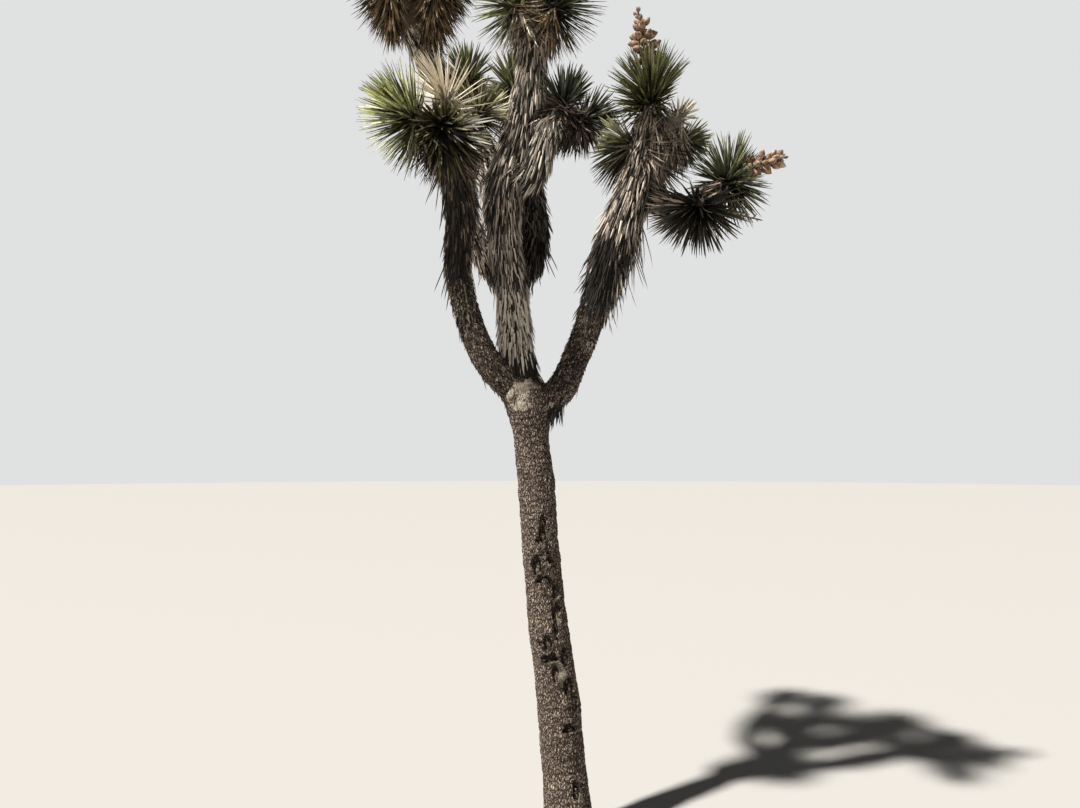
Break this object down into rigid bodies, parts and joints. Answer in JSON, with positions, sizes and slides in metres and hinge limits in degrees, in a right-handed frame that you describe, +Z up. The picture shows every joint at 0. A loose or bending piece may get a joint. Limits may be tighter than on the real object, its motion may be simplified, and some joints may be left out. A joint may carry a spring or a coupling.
{
  "type": "joshua tree",
  "caption": "Whole joshua tree with a leaning corky trunk that forks low in the crown, shaggy boughs hung with dead leaves, heads of dagger leaves and clusters of ripe fruit.",
  "frame": {"origin": "middle of the flat cut under the trunk, at ground level", "axes": "+Z up the tree; +X to the viewer's right as pictured; +Y away from the viewer"},
  "size_m": [2.0649, 1.4195, 4.2376],
  "materials": {
    "bark": "rough",
    "hanging_leaves": "rough",
    "leaves": "satin",
    "bleached_leaves": "matte",
    "fruit": "matte",
    "dry_stalk": "rough"
  },
  "bodies": {
    "root": {"trunk": "bark", "left_bough_lower": "bark", "left_bough_upper": "hanging_leaves", "centre_bough_lower": "hanging_leaves", "centre_bough_upper": "hanging_leaves", "upper_left_bough": "hanging_leaves", "rear_left_bough": "hanging_leaves", "rear_bough": "hanging_leaves", "inner_right_bough": "hanging_leaves", "right_bough_lower": "bark", "right_bough_upper": "hanging_leaves", "right_side_bough": "hanging_leaves", "left_front_head": "leaves", "left_head": "leaves", "left_inner_head": "leaves", "upper_left_head": "leaves", "upper_inner_head": "leaves", "rear_left_head": "leaves", "rear_head": "leaves", "top_head": "leaves", "top_right_head": "leaves", "top_left_head": "leaves", "inner_right_head": "leaves", "inner_right_side_head": "leaves", "right_top_head": "leaves", "right_rear_head": "leaves", "right_back_head": "leaves", "side_low_head": "leaves", "side_head": "leaves", "bleached_head": "bleached_leaves", "right_stub": "bleached_leaves", "top_fruit_cluster": "fruit", "side_fruit_cluster": "fruit", "old_flower_stalk": "dry_stalk"}
  },
  "joints": []
}
